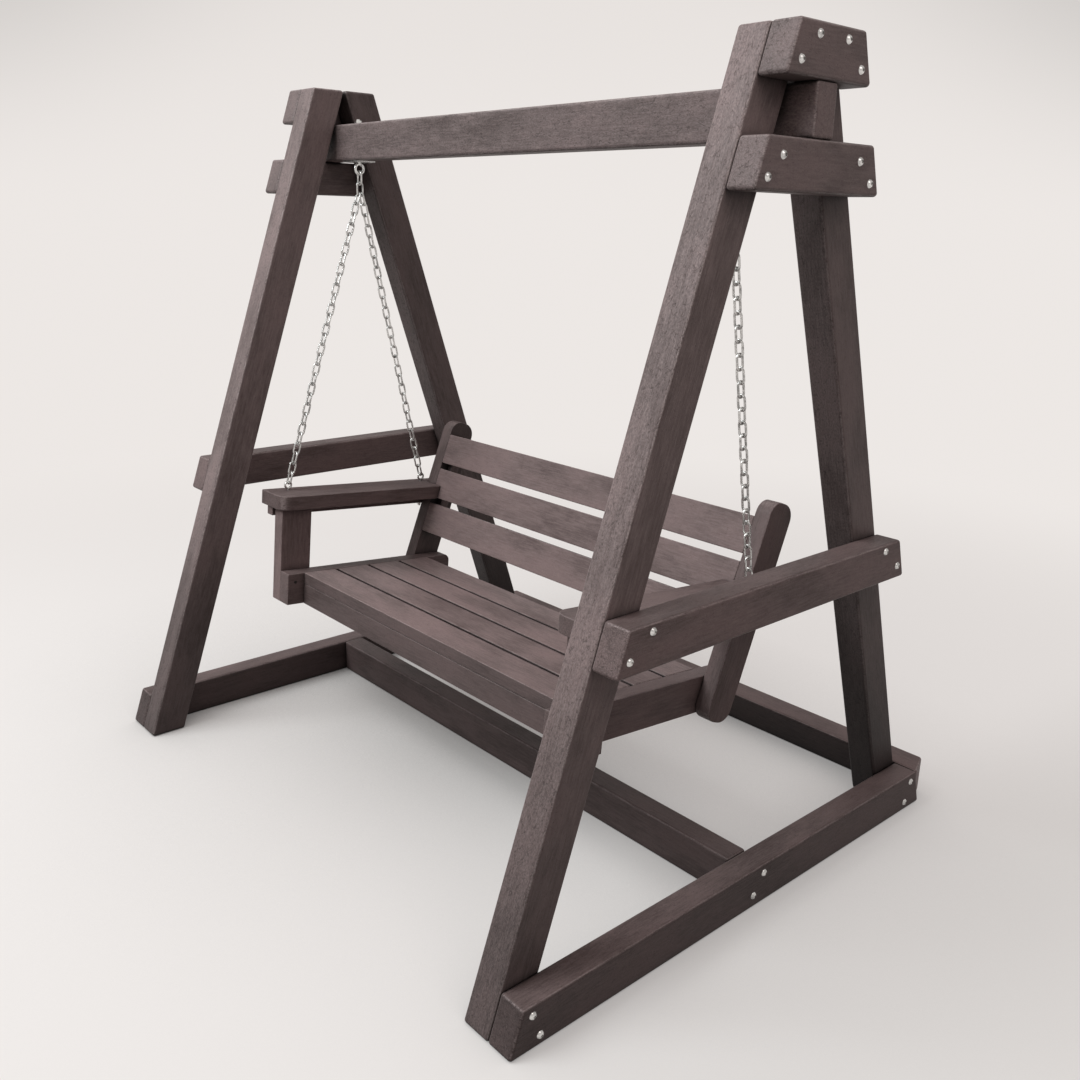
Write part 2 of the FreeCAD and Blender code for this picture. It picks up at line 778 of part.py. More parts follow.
def rail_screw_places():
    """Screws along X in the side rails, as Y and Z, by what they hold."""
    under_slat = "-slat_thick / 2"
    bearer_height = "-(slat_thick + side_rail_deep) / 2"
    return {
        "post": [
            in_post("post_screw_share", "-post_screw_drop"),
            in_post("post_screw_hidden_share", under_slat),
        ],
        "upright": [
            in_upright("upright_screw_hidden_share", under_slat),
            in_upright("upright_screw_share", "-upright_screw_drop"),
        ],
        "apron": [("bearer_thick / 2 - slat_front", bearer_height)],
        "bearer": [("slat_rear - bearer_thick / 2", bearer_height)],
        "cleat": [
            (f"({slat_middle(number)} + {slat_middle(number + 1)}) / 2", "-slat_thick - cleat_size / 2")
            for number in seat_slats()[:-1]
        ],
    }


def in_post(share, height):
    """A spot at a share of the post's width, as Y and Z."""
    return (f"{share} * post_wide - side_rail_front", height)


def in_upright(share, height):
    """A spot at a share of the upright's depth, as Y and Z."""
    return (
        f"back_start + ({share} * upright_deep + ({height}) * sin(back_angle)) / cos(back_angle)",
        height,
    )


def along_back(spot):
    """A spot of the seat's frame, as Y and Z in the back's own frame."""
    across, up = spot
    ahead = f"({across} - back_start)"
    return (
        f"{ahead} * cos(back_angle) - ({up}) * sin(back_angle)",
        f"{ahead} * sin(back_angle) + ({up}) * cos(back_angle)",
    )


def seat_slats():
    """The numbers of the seat's slats, counted from the front."""
    return range(round(size("slat_count")))


def slat_middle(number):
    """The middle of a slat along Y."""
    return f"-slat_front + {number} * (slat_wide + slat_gap) + slat_wide / 2"


def side_rail(side):
    """A side rail, its top rear corner rounded."""
    board = new_board(f"seat_rail_{side}", SEAT)
    sign = SIDES[side]
    corners = box_corners("-side_rail_front", "side_rail_rear", "-side_rail_deep", "0")
    sketch = outline(board, "outline", "YZ_Plane", f"{sign} * seat_inner", corners)
    pad(board, sketch, "side_rail_thick", backwards=sign < 0)
    round_corners(board, "YZ_Plane", [corners[2]], "side_rail_round")
    soften(board, "seat_edge_round")
    places = rail_screw_places()
    outward = places["post"] + places["upright"]
    inward = places["apron"] + places["bearer"]
    inner = f"{sign} * seat_inner"
    outer = f"{sign} * rail_outer"
    left = sign < 0
    drill(board, "screw_holes", "YZ_Plane", "0", outward + inward, "screw_bore")
    drill(board, "inner_sinks", "YZ_Plane", inner, outward, "screw_sink", "screw_head_high", not left)
    drill(board, "outer_sinks", "YZ_Plane", outer, inward, "screw_sink", "screw_head_high", left)
    drill(
        board, "cleat_holes", "YZ_Plane", inner,
        places["cleat"], "screw_bore", "screw_bite + fit_gap", not left,
    )


def cross_board(label, near, far, ends):
    """A board across the seat under the slats, with screw holes in its ends."""
    board = new_board(label, SEAT)
    corners = box_corners(near, far, "-side_rail_deep", "-slat_thick")
    sketch = outline(board, "outline", "YZ_Plane", "0", corners)
    pad(board, sketch, "2 * seat_inner", both_ways=True)
    soften(board, "seat_edge_round")
    for side, sign in SIDES.items():
        drill(
            board, f"end_holes_{side}", "YZ_Plane", f"{sign} * seat_inner",
            ends, "screw_bore", "screw_bite + fit_gap", sign < 0,
        )


def centre_bearer():
    """The bearer under the middle of the slats, from the apron to the rear bearer."""
    board = new_board("seat_centre_bearer", SEAT)
    near = "bearer_thick - slat_front"
    far = "slat_rear - bearer_thick"
    corners = box_corners(near, far, "-side_rail_deep", "-slat_thick")
    sketch = outline(board, "outline", "YZ_Plane", "0", corners)
    pad(board, sketch, "centre_bearer_wide", both_ways=True)
    soften(board, "seat_edge_round")


def seat_cleat(side):
    """The cleat on the side rail's inner face that the slats lie on."""
    board = new_board(f"seat_cleat_{side}", SEAT)
    sign = SIDES[side]
    near = "bearer_thick - slat_front"
    far = "slat_rear - bearer_thick"
    corners = box_corners(near, far, "-slat_thick - cleat_size", "-slat_thick")
    inner = f"{sign} * (seat_inner - cleat_size)"
    sketch = outline(board, "outline", "YZ_Plane", inner, corners)
    pad(board, sketch, "cleat_size", backwards=sign < 0)
    soften(board, "seat_edge_round")
    centres = rail_screw_places()["cleat"]
    drill(board, "rail_holes", "YZ_Plane", "0", centres, "screw_bore")
    drill(board, "rail_sinks", "YZ_Plane", inner, centres, "screw_sink", "screw_head_high", sign > 0)
    up = [(slat_screw_across(sign), slat_middle(number)) for number in seat_slats()]
    drill(board, "slat_holes", "XY_Plane", "0", up, "screw_bore")
    low = "-slat_thick - cleat_size"
    drill(board, "slat_sinks", "XY_Plane", low, up, "screw_sink", "screw_head_high", True)


def slat_screw_across(sign):
    """Where the slats' screws stand along X."""
    return f"{sign} * (seat_inner - cleat_size / 2)"


def seat_slat(number):
    """One slat of the seat."""
    board = new_board(f"seat_slat_{number + 1}", SEAT)
    near = f"{slat_middle(number)} - slat_wide / 2"
    far = f"{slat_middle(number)} + slat_wide / 2"
    sketch = outline(board, "outline", "YZ_Plane", "0", box_corners(near, far, "-slat_thick", "0"))
    pad(board, sketch, "2 * seat_inner", both_ways=True)
    soften(board, "seat_edge_round")
    centres = [(slat_screw_across(sign), slat_middle(number)) for sign in SIDES.values()]
    depth = "screw_bite + fit_gap"
    drill(board, "screw_holes", "XY_Plane", "-slat_thick", centres, "screw_bore", depth, True)


# Posts and arms

def arm_screw_places():
    """Screws up through the arm cleat into the arm, along Y, at the quarters between the eyes."""
    return [f"{quarter} * (arm_eye_rear + arm_eye_front) / 4 - arm_eye_front" for quarter in (1, 2, 3)]


def cleat_screw_places():
    """Screws from the arm cleat's outer face, as Y and Z, by what they reach."""
    height = "arm_under - arm_cleat_deep / 2"
    return {
        "post": [in_post("arm_cleat_screw_share", height), in_post("arm_cleat_screw_next_share", height)],
        "upright": [in_upright("arm_cleat_rear_screw_share", height)],
    }


def arm_eye_places(sign):
    """The eyes' holes, as X and Y."""
    return [(f"{sign} * arm_eye_across", along) for along in ARM_EYES.values()]


def arm_post(side):
    """The post from the side rail's foot to the arm."""
    board = new_board(f"arm_post_{side}", SEAT)
    sign = SIDES[side]
    corners = box_corners("-side_rail_front", "post_wide - side_rail_front", "-side_rail_deep", "arm_under")
    sketch = outline(board, "outline", "YZ_Plane", f"{sign} * rail_outer", corners)
    pad(board, sketch, "post_thick", backwards=sign < 0)
    soften(board, "seat_edge_round")
    bite = "screw_bite + fit_gap"
    rail_screws = rail_screw_places()["post"]
    cleat_screws = cleat_screw_places()["post"]
    inner = f"{sign} * rail_outer"
    outer = f"{sign} * post_outer"
    drill(board, "rail_holes", "YZ_Plane", inner, rail_screws, "screw_bore", bite, sign > 0)
    drill(board, "cleat_holes", "YZ_Plane", outer, cleat_screws, "screw_bore", bite, sign < 0)


def arm(side):
    """The arm: its inner part ends on the upright, its outer part runs past it."""
    board = new_board(f"arm_{side}", SEAT)
    sign = SIDES[side]
    inner = f"{sign} * arm_inner"
    corners = box_corners(inner, f"{sign} * arm_outer", "-arm_front", "arm_rear")
    pad(board, outline(board, "outline", "XY_Plane", "arm_under", corners), "arm_thick")
    round_corners(board, "XY_Plane", [corners[0]], "arm_round")
    low = "arm_under - arm_thick"
    high = "arm_top + arm_thick"
    notch = [
        (f"back_start + ({low}) * tan(back_angle)", low),
        ("arm_rear + arm_thick", low),
        ("arm_rear + arm_thick", high),
        (f"back_start + ({high}) * tan(back_angle)", high),
    ]
    sketch = outline(board, "notch", "YZ_Plane", f"{sign} * post_outer", notch)
    cut(board, sketch, "post_outer", sign < 0)
    soften(board, "seat_edge_round")
    screw_centres = [(f"{sign} * arm_eye_across", along) for along in arm_screw_places()]
    drill(board, "eye_holes", "XY_Plane", "0", arm_eye_places(sign), "arm_eye_bore")
    drill(
        board, "screw_holes", "XY_Plane", "arm_under",
        screw_centres, "screw_bore", "screw_bite + fit_gap", True,
    )


def arm_cleat(side):
    """The cleat under the arm, on the outer faces of the post and the upright."""
    board = new_board(f"arm_cleat_{side}", SEAT)
    sign = SIDES[side]
    corners = box_corners("-arm_cleat_front", "arm_cleat_rear", "arm_cleat_under", "arm_under")
    sketch = outline(board, "outline", "YZ_Plane", f"{sign} * post_outer", corners)
    pad(board, sketch, "arm_cleat_wide", backwards=sign < 0)
    soften(board, "seat_edge_round")
    upward = [(f"{sign} * arm_eye_across", along) for along in arm_screw_places()]
    inward = [place for places in cleat_screw_places().values() for place in places]
    outer = f"{sign} * arm_cleat_outer"
    drill(board, "eye_holes", "XY_Plane", "0", arm_eye_places(sign), "arm_eye_bore")
    drill(board, "arm_holes", "XY_Plane", "0", upward, "screw_bore")
    drill(board, "arm_sinks", "XY_Plane", "arm_cleat_under", upward, "screw_sink", "screw_head_high", True)
    drill(board, "side_holes", "YZ_Plane", "0", inward, "screw_bore")
    drill(board, "side_sinks", "YZ_Plane", outer, inward, "screw_sink", "screw_head_high", sign < 0)


def arm_eyes():
    """The eyes that the chains end in, and the washers and nuts under the arms."""
    solids = []
    unders = []
    for sign in SIDES.values():
        for number, (across, along) in enumerate(arm_eye_places(sign)):
            name = f"arm_eye_{sign + 1}_{number}"
            centre = (across, along, "arm_top + arm_eye_lift")
            ring = {"Radius1": "arm_eye_radius", "Radius2": "arm_eye_wire / 2"}
            solids.append(primitive("Torus", f"{name}_ring", centre, "+x", "0", ring))
            length = (
                "arm_eye_lift - arm_eye_radius + arm_thick + arm_cleat_deep"
                " + small_washer_thick + small_nut_high + stud_end"
            )
            solids.append(rod(f"{name}_shank", centre, "-z", "arm_eye_radius", "arm_eye_size", length))
            unders.append(((across, along, "arm_cleat_under"), "-z"))
    finish("arm_eyes", union("arm_eyes", solids), SEAT)
    washer = ("small_washer_wide", "small_washer_thick")
    nuts("arm_eye_nuts", unders, washer, ("small_nut_corners", "small_nut_high"), "arm_eye_bore", SEAT)


# Back

def back_slat_low(number):
    """The lower edge of a back slat, counted from the top."""
    return f"back_slat_top_edge - {number + 1} * back_slat_wide - {number} * back_slat_gap"


def back_screw_places(sign):
    """The screws of the back slats, as X and Z in the back's frame."""
    across = f"{sign} * (rail_outer - back_cleat_thick / 2)"
    return [
        (across, f"{back_slat_low(number)} + {quarter} * back_slat_wide / 4")
        for number in range(len(BACK_SLATS))
        for quarter in (1, 3)
    ]


def back_upright(side):
    """An upright of the back, its four corners rounded."""
    board = new_board(f"back_upright_{side}", BACK)
    sign = SIDES[side]
    corners = box_corners("0", "upright_deep", "-upright_below", "upright_above")
    sketch = outline(board, "outline", "YZ_Plane", f"{sign} * rail_outer", corners)
    pad(board, sketch, "post_thick", backwards=sign < 0)
    round_corners(board, "YZ_Plane", corners, "upright_round")
    soften(board, "seat_edge_round")
    bite = "screw_bite + fit_gap"
    rail_screws = [along_back(spot) for spot in rail_screw_places()["upright"]]
    cleat_screws = [along_back(spot) for spot in cleat_screw_places()["upright"]]
    inner = f"{sign} * rail_outer"
    outer = f"{sign} * post_outer"
    drill(board, "rail_holes", "YZ_Plane", inner, rail_screws, "screw_bore", bite, sign > 0)
    drill(board, "cleat_holes", "YZ_Plane", outer, cleat_screws, "screw_bore", bite, sign < 0)


def back_slat(number, name):
    """One slat of the back, its face in line with the uprights' fronts."""
    board = new_board(f"back_slat_{name}", BACK)
    low = back_slat_low(number)
    corners = box_corners("0", "back_slat_thick", low, f"{low} + back_slat_wide")
    pad(board, outline(board, "outline", "YZ_Plane", "0", corners), "2 * rail_outer", both_ways=True)
    soften(board, "seat_edge_round")
    centres = [
        place
        for sign in SIDES.values()
        for place in back_screw_places(sign)[2 * number:2 * number + 2]
    ]
    depth = "screw_bite + fit_gap"
    drill(board, "screw_holes", "XZ_Plane", "-back_slat_thick", centres, "screw_bore", depth, True)


def back_cleat(side):
    """The cleat behind the back slats, on the upright's inner face."""
    board = new_board(f"back_cleat_{side}", BACK)
    sign = SIDES[side]
    low = back_slat_low(len(BACK_SLATS) - 1)
    corners = box_corners("back_slat_thick", "back_behind", low, "back_slat_top_edge")
    inner = f"{sign} * (rail_outer - back_cleat_thick)"
    sketch = outline(board, "outline", "YZ_Plane", inner, corners)
    pad(board, sketch, "back_cleat_thick", backwards=sign < 0)
    soften(board, "seat_edge_round")
    centres = back_screw_places(sign)
    drill(board, "screw_holes", "XZ_Plane", "0", centres, "screw_bore")
    drill(board, "screw_sinks", "XZ_Plane", "-back_behind", centres, "screw_sink", "screw_head_high", True)


# Screws of the seat

def seat_screws():
    """The flush screws of the side rails, slats, arms and back."""
    places = rail_screw_places()
    rails = []
    slats = []
    arms = []
    backs = []
    for sign, outward in ((-1, "-x"), (1, "+x")):
        inward = opposite(outward)
        inner = f"{sign} * seat_inner"
        outer = f"{sign} * rail_outer"
        through_rail = "side_rail_thick + screw_bite"
        for spot in places["post"] + places["upright"]:
            rails.append(((inner, *spot), outward, through_rail))
        for spot in places["apron"] + places["bearer"]:
            rails.append(((outer, *spot), inward, through_rail))
        for spot in places["cleat"]:
            cleat_face = f"{sign} * (seat_inner - cleat_size)"
            rails.append(((cleat_face, *spot), outward, "cleat_size + screw_bite"))
        for number in seat_slats():
            spot = (slat_screw_across(sign), slat_middle(number), "-slat_thick - cleat_size")
            slats.append((spot, "+z", "cleat_size + screw_bite"))
        for along in arm_screw_places():
            spot = (f"{sign} * arm_eye_across", along, "arm_cleat_under")
            arms.append((spot, "+z", "arm_cleat_deep + screw_bite"))
        for spot in [place for held in cleat_screw_places().values() for place in held]:
            arms.append(((f"{sign} * arm_cleat_outer", *spot), inward, "arm_cleat_wide + screw_bite"))
        for across, height in back_screw_places(sign):
            backs.append(((across, "back_behind", height), "-y", "back_cleat_deep + screw_bite"))
    screws("seat_rail_screws", rails, SEAT)
    screws("slat_screws", slats, SEAT)
    screws("arm_screws", arms, SEAT)
    screws("back_screws", backs, BACK)


# Whole bench

def build_frame():
    """Every piece that stands still."""
    for side in SIDES:
        for face in FACES:
            leg(face, side)
        for name in SIDE_BOARDS:
            side_board(name, side)
    top_beam()
    cross_rail_middle()
    cross_rail_rear()
    frame_fasteners()
    beam_eyes()


def build_swing():
    """Every piece that swings."""
    link = oval_link()
    hanger_links(link)
    for side in SIDES:
        for face in FACES:
            chain(link, side, face)
        side_rail(side)
        seat_cleat(side)
        arm_post(side)
        arm(side)
        arm_cleat(side)
        back_upright(side)
        back_cleat(side)
    places = rail_screw_places()
    cross_board("seat_apron", "-slat_front", "bearer_thick - slat_front", places["apron"])
    cross_board("seat_rear_bearer", "slat_rear - bearer_thick", "slat_rear", places["bearer"])
    centre_bearer()
    for number in seat_slats():
        seat_slat(number)
    for number, name in enumerate(BACK_SLATS):
        back_slat(number, name)
    arm_eyes()
    seat_screws()


def check_document():
    """Stop if an object failed, a cut removed nothing or a node isn't a sound shape."""
    for item in DOC.Objects:
        if "Invalid" in item.State or "Error" in item.State:
            raise RuntimeError(f"{item.Name} failed: {item.State}")
        if item.TypeId == "PartDesign::Pocket" and item.Shape.Volume >= item.BaseFeature.Shape.Volume:
            raise RuntimeError(f"{item.Name} cuts nothing")
    for node in NODES:
        if node.Shape.isNull() or not node.Shape.isValid() or not node.Shape.Solids:
            raise RuntimeError(f"{node.Label} is not a sound shape")


def write_parts():
    """Write each node's shape."""
    os.makedirs("parts", exist_ok=True)
    for node in NODES:
        node.Shape.exportStep(f"parts/{node.Label}.step")


fill_sheet()
build_frame()
build_swing()
DOC.recompute()
check_document()
write_parts()
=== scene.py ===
import math

import bmesh
import bpy
from mathutils import Matrix, Vector

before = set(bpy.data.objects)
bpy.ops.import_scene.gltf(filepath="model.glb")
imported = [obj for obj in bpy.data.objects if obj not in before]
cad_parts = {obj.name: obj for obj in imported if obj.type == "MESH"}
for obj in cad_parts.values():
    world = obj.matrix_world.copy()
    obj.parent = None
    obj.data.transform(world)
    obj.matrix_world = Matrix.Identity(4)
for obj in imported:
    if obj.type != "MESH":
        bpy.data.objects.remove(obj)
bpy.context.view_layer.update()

# Looks of the swing bench. Lengths are in metres and angles in degrees, in the part's own frame.
# Colours are linear. A span is the two levels of a value at which its spread is 0 and 1.

# Camera, as fitted to the photograph's 1080 by 1080 pixels
CAMERA_SPOT = Vector((2.09488, -1.75103, 1.50003))
CAMERA_YAW = 48.18
CAMERA_PITCH = -17.0
CAMERA_ROLL = 1.28
IMAGE_SIDE = 1080
FOCAL_PIXELS = 1048.57
SENSOR_MM = 36
CLIP_FAR = 200

# Light: each lamp's spot, what it points at, its size, power and colour
LAMPS = {
    "key": (Vector((-1.7, -4.1, 5.1)), Vector((0, 0, 0.9)), 4.4, 372, (0.92, 0.982, 1.0)),
    "fill": (Vector((2.7, -0.6, 3.3)), Vector((0.6, 0, 0.9)), 1.6, 13, (1.0, 0.92, 0.90)),
}
SKY_COLOUR = (1.0, 0.925, 0.915, 1)
SKY_STRENGTH = 0.44

# Backdrop. It dims upwards, least about its axis, and its span is in cosines of the angle from there.
BACKDROP_HORIZON = (0.845, 0.805, 0.78, 1)
BACKDROP_PALE = (0.80, 0.76, 0.735, 1)
BACKDROP_DIM = (0.60, 0.575, 0.555, 1)
BACKDROP_RISE = 0.22
BACKDROP_AXIS = Vector((-0.738, 0.660, -0.139)).normalized()
BACKDROP_SPAN = (0.84, 0.95)

# Floor. Its glow carries painted shadow, dimmer on its right and darker under the bench by how open it is.
# Dim and shade change along X, and the fade into the backdrop with the distance.
FLOOR_COLOUR = (0.82, 0.79, 0.77, 1)
FLOOR_BOUNCE_COLOUR = (0.08, 0.076, 0.074, 1)
FLOOR_GLOW_SHARE = 0.6
FLOOR_GLOW_COLOUR = (0.84, 0.80, 0.775, 1)
FLOOR_GLOW_DIM = (0.73, 0.70, 0.675, 1)
FLOOR_DIM_SPAN = (0.7, 1.4)
FLOOR_SHADE_COLOUR = (0.02, 0.02, 0.02, 1)
FLOOR_SHADE_PALE = (0.30, 0.30, 0.30, 1)
FLOOR_SHADE_SPAN = (-0.3, 0.6)
FLOOR_SHADE_REACH = 1.3
FLOOR_SHADE_SAMPLES = 8
FLOOR_FADE_SPAN = (1.6, 4.5)
FLOOR_RADIUS = 60
FLOOR_SIDES = 96
FLOOR_DROP = 0.0005

# Boards by the start of their names: the axis that the length follows, and the tip about X
LEAN = 18.8
SEAT_TIP = -5.0
BACK_TIP = -21.3
BOARD_WAYS = {
    "leg_front": ("Z", -LEAN),
    "leg_rear": ("Z", LEAN),
    "upper_spreader": ("Y", 0),
    "lower_spreader": ("Y", 0),
    "mid_rail": ("Y", 0),
    "ground_rail": ("Y", 0),
    "cross_rail_middle": ("X", 0),
    "cross_rail_rear": ("X", 0),
    "top_beam": ("X", 0),
    "seat_rail": ("Y", SEAT_TIP),
    "seat_cleat": ("Y", SEAT_TIP),
    "seat_centre_bearer": ("Y", SEAT_TIP),
    "seat_slat": ("X", SEAT_TIP),
    "seat_apron": ("X", SEAT_TIP),
    "seat_rear_bearer": ("X", SEAT_TIP),
    "arm_post": ("Z", SEAT_TIP),
    "arm_cleat": ("Y", SEAT_TIP),
    "arm_left": ("Y", SEAT_TIP),
    "arm_right": ("Y", SEAT_TIP),
    "back_upright_left": ("Z", BACK_TIP),
    "back_upright_right": ("Z", BACK_TIP),
    "back_cleat": ("Z", BACK_TIP),
    "back_slat": ("X", BACK_TIP),
}
FASTENER_ENDINGS = ("bolts", "screws", "nuts")
UNITS = {"X": (1, 0, 0), "Y": (0, 1, 0), "Z": (0, 0, 1)}
AXIS_ORDER = {"X": "XYZ", "Y": "YZX", "Z": "ZXY"}
TEXTURE_STEP = Vector((1.37, 0.61, 0.83))

# How strong the grain marks are on a board's ends, its second pair of long faces and its first
LEG_MARK_SHARES = (0.8, 0.35, 1.0)
RAIL_MARK_SHARES = (1.0, 0.45, 0.4)
BEAM_MARK_SHARES = (0.5, 0.9, 0.5)
SEAT_MARK_SHARES = (0.6, 0.3, 0.3)

# How light a board is, partly its own tone and partly painted light and shade; the shares that its
# second pair of long faces and its foot have of that, which are painted light and shade, the foot painted
# darker towards the floor; and its grain marks
BOARD_SHARES = {
    "leg_front": (1.18, 0.95, 0.5, LEG_MARK_SHARES),
    "leg_rear": (0.56, 1.3, 0.25, LEG_MARK_SHARES),
    "upper_spreader": (0.95, 0.85, 1.0, RAIL_MARK_SHARES),
    "lower_spreader": (0.94, 0.85, 1.0, RAIL_MARK_SHARES),
    "mid_rail": (0.87, 0.86, 1.0, RAIL_MARK_SHARES),
    "ground_rail": (0.47, 1.65, 1.0, RAIL_MARK_SHARES),
    "cross_rail_middle": (0.54, 0.9, 1.0, SEAT_MARK_SHARES),
    "cross_rail_rear": (0.9, 0.28, 1.0, SEAT_MARK_SHARES),
    "top_beam": (0.95, 1.0, 1.0, BEAM_MARK_SHARES),
    "seat_rail": (0.8, 0.9, 1.0, SEAT_MARK_SHARES),
    "seat_cleat": (0.8, 1.0, 1.0, SEAT_MARK_SHARES),
    "seat_centre_bearer": (0.8, 1.0, 1.0, SEAT_MARK_SHARES),
    "seat_slat": (1.17, 0.5, 1.0, SEAT_MARK_SHARES),
    "seat_apron": (0.58, 1.0, 1.0, SEAT_MARK_SHARES),
    "seat_rear_bearer": (0.8, 1.0, 1.0, SEAT_MARK_SHARES),
    "arm_post": (1.05, 0.85, 1.0, SEAT_MARK_SHARES),
    "arm_cleat": (0.85, 1.0, 1.0, SEAT_MARK_SHARES),
    "arm_left": (0.76, 1.06, 1.0, SEAT_MARK_SHARES),
    "arm_right": (0.76, 1.06, 1.0, SEAT_MARK_SHARES),
    "back_upright_left": (0.66, 0.6, 1.0, SEAT_MARK_SHARES),
    "back_upright_right": (0.68, 1.1, 1.0, SEAT_MARK_SHARES),
    "back_cleat": (0.85, 1.0, 1.0, SEAT_MARK_SHARES),
    "back_slat": (1.02, 0.98, 1.0, SEAT_MARK_SHARES),
}
# Height up to which the painted shade at a board's foot fades out
FOOT_PAINTED_SHADE_HEIGHT = 0.95

# Clouds of noise. Stretch is how much of a board's length counts, and scale is in cycles a metre.
MOTTLE = {"stretch": 0.4, "scale": 9, "detail": 6, "roughness": 0.62}
STREAKS = {"stretch": 0.1, "scale": 240, "detail": 5, "roughness": 0.6}
SPECKLE = {"stretch": 0.5, "scale": 560, "detail": 3, "roughness": 0.7}
MARKS = {"stretch": 0.72, "scale": 128, "detail": 1.5, "roughness": 0.5}
MARK_PIECES = {"stretch": 0.7, "scale": 95, "detail": 2, "roughness": 0.5}
MARK_PATCHES = {"stretch": 0.5, "scale": 11, "detail": 3, "roughness": 0.6}
PEBBLE = {"stretch": 0.5, "scale": 380, "detail": 2.5, "roughness": 0.6}
TARNISH = {"stretch": 1, "scale": 60, "detail": 5, "roughness": 0.65}
STEEL_GRAIN = {"stretch": 1, "scale": 2400, "detail": 2, "roughness": 0.5}

# Faces of a board, by how squarely they face its axes
END_SPAN = (0.86, 0.93)
EDGE_SPAN = (0.93, 0.78)
SECOND_FACE_SPAN = (0.6, 0.8)

# Marks, pebbles, pits and saw arcs of the lumber, and painted shade in its crevices and between boards
MARK_MIDDLE = 0.5
MARK_WIDTH = 0.055
MARK_PIECE_SPAN = (0.46, 0.62)
MARK_PATCH_SPAN = (0.2, 0.5)
MARK_SHARE = 0.52
PEBBLE_SPAN = (0.3, 0.7)
PEBBLE_DARK_SHARE = 0.72
PEBBLE_LIGHT_SHARE = 1.16
PIT_STRETCH = 0.7
PIT_SCALE = 150
PIT_WIDTH = 0.2
PIT_CHOICE_SPAN = (0.72, 0.8)
PIT_SHARE = 0.8
SAW_SCALE = 190 / math.tau
SAW_CENTRE = (0, -0.19, -0.12)
SAW_WOBBLE = 1.2
SAW_DETAIL = 2
CREVICE_SHADE_REACH = 0.034
CREVICE_SHADE_SAMPLES = 6
CREVICE_SHADE_SPAN = (0.2, 0.85)
CREVICE_SHADE_SHARE = 0.16

# Colours of the lumber, and how they mix
LUMBER_DARK = (0.086, 0.061, 0.058, 1)
LUMBER_LIGHT = (0.242, 0.191, 0.184, 1)
LUMBER_RED = (0.188, 0.130, 0.126, 1)
LUMBER_WORN_AND_HIGHLIT = (0.36, 0.30, 0.29, 1)
LUMBER_DEEP = (0.030, 0.021, 0.019, 1)
STREAK_SHARE = 0.4
MOTTLE_SHARE = 0.6
SHADE_SPAN = (0.3, 0.7)
RED_SPAN = (0.4, 0.65)
RED_SHARE = 0.5
FLECK_SPAN = (0.2, 0.8)
FLECK_SHARE = 0.22
# Edges are lighter partly from wear and partly as a painted highlight
WEAR_AND_HIGHLIGHT_SPAN = (0.75, 1.15)
WEAR_AND_HIGHLIGHT_SHARE = 0.7
PLAIN_TINT = (1, 1, 1)
WARM_TINT = (1, 0.95, 0.95)
WARM_BOARDS = ("seat", "arm", "back", "mid", "ground", "cross")

# Gloss and relief of the lumber, and what each layer adds to its roughness and to its height
LUMBER_GLOSS = 0.22
LUMBER_ROUGHNESS = 0.46
ROUGHNESS_SHARES = {"fleck": 0.16, "hollow": 0.25, "wear_and_highlight": -0.1}
HEIGHT_SHARES = {"speckle": 0.45, "streaks": 0.5, "grain": 0.4, "marks": -0.6, "pits": -0.8, "saw": 0.3}
BUMP_STRENGTH = 0.75
BUMP_DEPTH = 0.0008

# What the lumber's group takes and gives
LUMBER_INPUTS = {
    "Spot": "NodeSocketVector",
    "Facing": "NodeSocketVector",
    "Height above floor": "NodeSocketFloat",
    "Tint": "NodeSocketVector",
    "Tone and painted light": "NodeSocketFloat",
    "Second faces painted light": "NodeSocketFloat",
    "Foot painted shade": "NodeSocketFloat",
    "Marks": "NodeSocketVector",
}
LUMBER_OUTPUTS = {
    "Colour": "NodeSocketColor",
    "Roughness": "NodeSocketFloat",
    "Height": "NodeSocketFloat",
}

# Steel finishes: dull and bright colour, low and high roughness, depth of the bump
STEELS = {
    "bolt_steel": ((0.42, 0.415, 0.405, 1), (0.74, 0.73, 0.715, 1), 0.18, 0.36, 0.00004),
    "bright_steel": ((0.50, 0.50, 0.49, 1), (0.80, 0.80, 0.78, 1), 0.16, 0.34, 0.00005),
    "chain_steel": ((0.34, 0.335, 0.325, 1), (0.68, 0.67, 0.655, 1), 0.22, 0.46, 0.00012),
    "dark_steel": ((0.030, 0.027, 0.026, 1), (0.085, 0.078, 0.075, 1), 0.34, 0.6, 0.00008),
}
STEEL_NODES = {
    "bolt_steel": (
        "upper_spreader_bolts", "lower_spreader_bolts", "mid_rail_bolts", "ground_rail_bolts",
        "cross_rail_bolts",
    ),
    "bright_steel": ("eye_bolts", "eye_nuts", "arm_eyes", "arm_eye_nuts"),
    "chain_steel": (
        "hanger_links", "chain_front_left", "chain_front_right", "chain_rear_left",
        "chain_rear_right", "eye_plates",
    ),
    "dark_steel": ("beam_screws", "seat_rail_screws", "slat_screws", "arm_screws", "back_screws"),
}
SPANGLE_SCALE = 420
SPANGLE_COLOUR_SHARE = 0.35
SPANGLE_HEIGHT_SHARE = 0.3
TARNISH_SPAN = (0.3, 0.65)
STEEL_SPAN = (0.1, 1.2)
# Painted shade on the floor of the bolt heads' sockets
SOCKET_PAINTED_SHADE = (0.42, 0.41, 0.40, 1)
SOCKET_FACING_SPAN = (0.955, 0.985)


# Nodes of materials. Sockets 2 and 3 of a Mix node are its numbers, and 6 and 7 its colours.

def fill_inputs(tree, node, inputs):
    """Link each input that is given a socket, and set any other."""
    for key, value in dict(inputs).items():
        if isinstance(value, bpy.types.NodeSocket):
            tree.links.new(value, node.inputs[key])
        else:
            node.inputs[key].default_value = value


